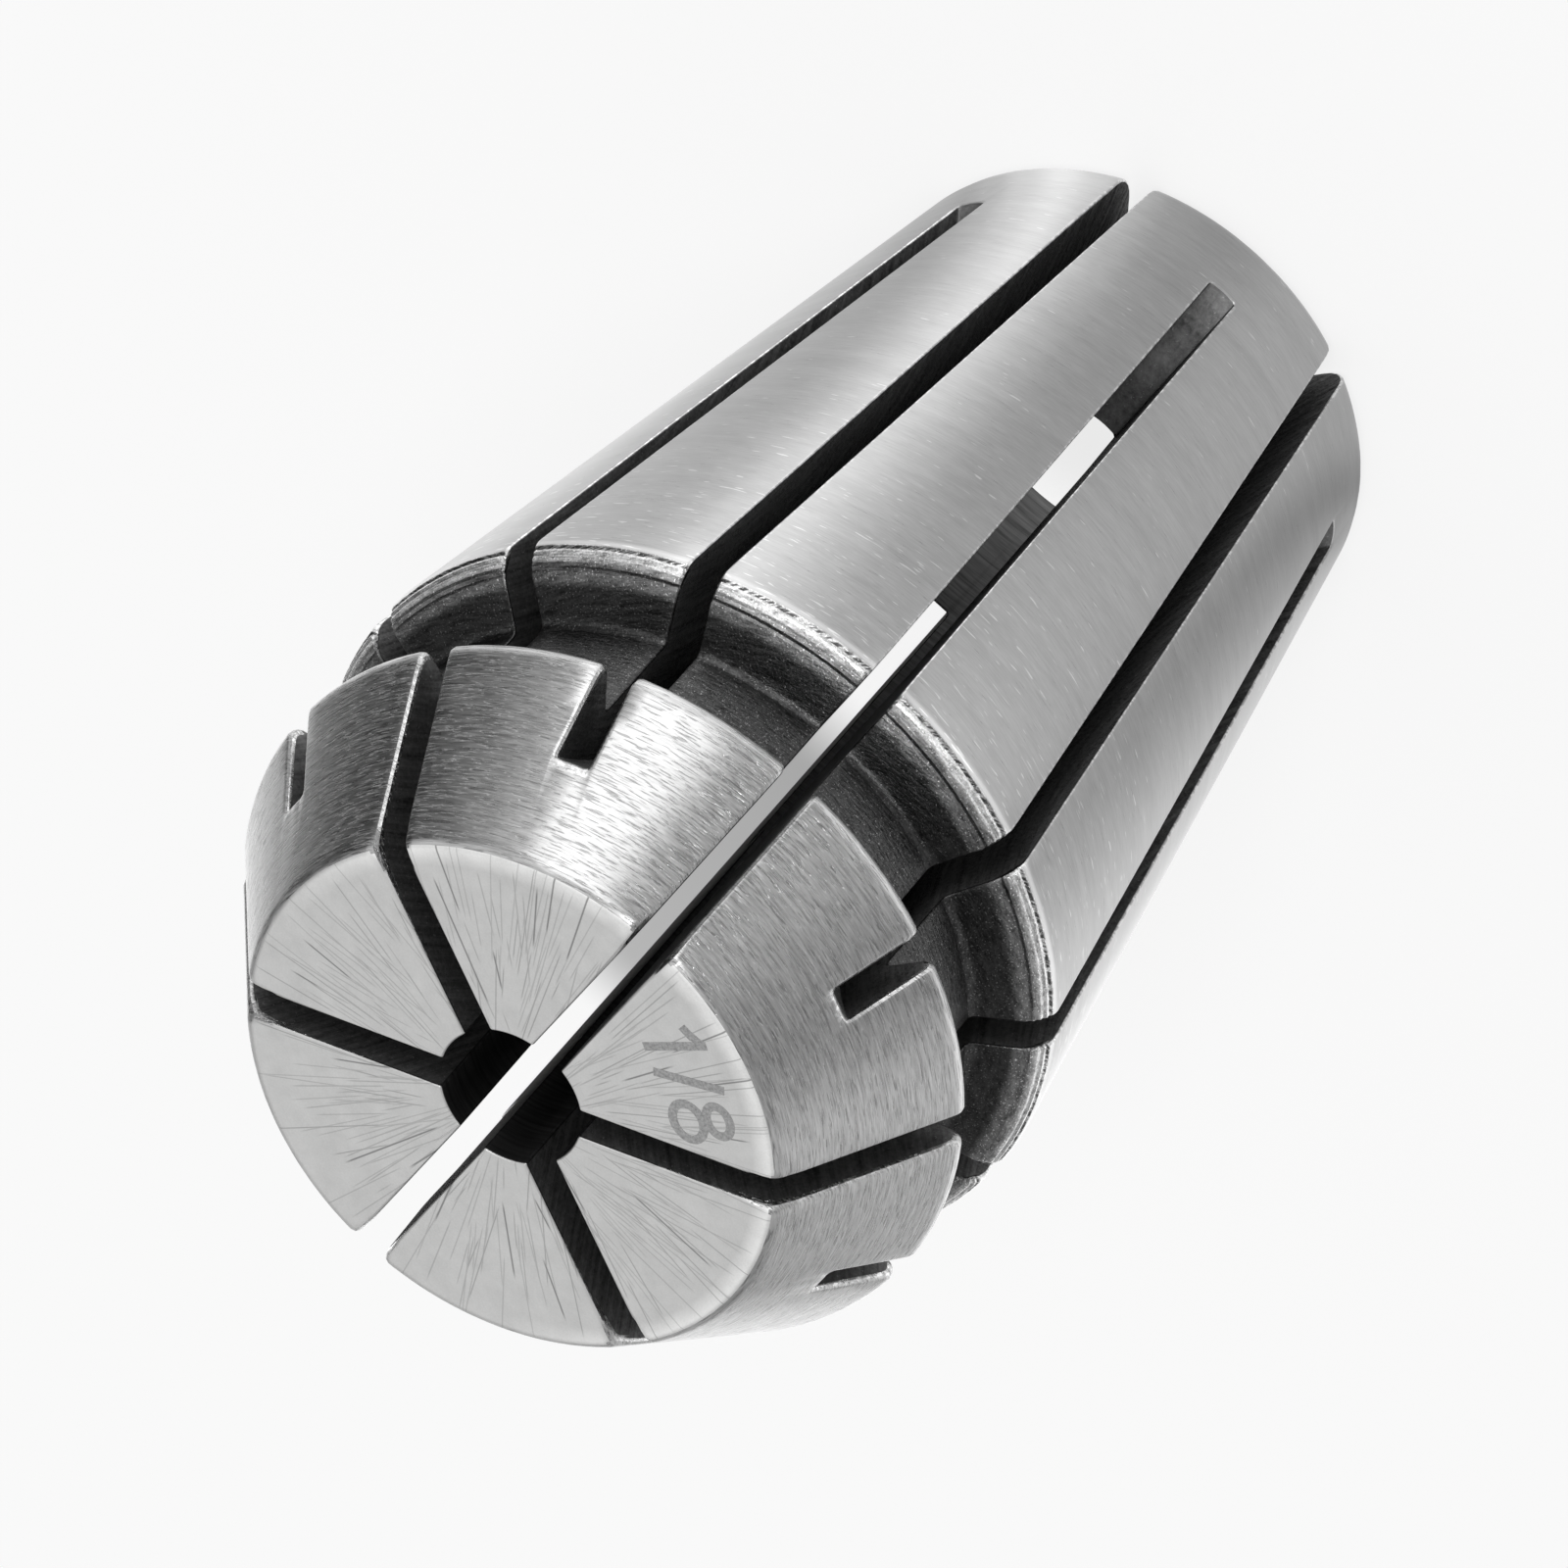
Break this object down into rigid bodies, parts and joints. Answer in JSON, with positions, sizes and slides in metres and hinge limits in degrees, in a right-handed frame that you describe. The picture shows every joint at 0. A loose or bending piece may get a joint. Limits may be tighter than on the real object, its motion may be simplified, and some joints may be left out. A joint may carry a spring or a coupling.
{
  "type": "er collet",
  "caption": "Slotted steel spring collet with a long seat taper, a nut groove, a short nose cone and a small gripping bore.",
  "frame": {"origin": "centre of the tail face, on the surface that the collet stands on", "axes": "+Z along the bore from the tail to the nose, +X through one of the slots that open at the nose"},
  "size_m": [0.0168, 0.0168, 0.0275],
  "materials": {
    "ground_steel": "fine ground and hardened steel, satin"
  },
  "bodies": {
    "root": {"collet": "ground_steel"}
  },
  "joints": []
}
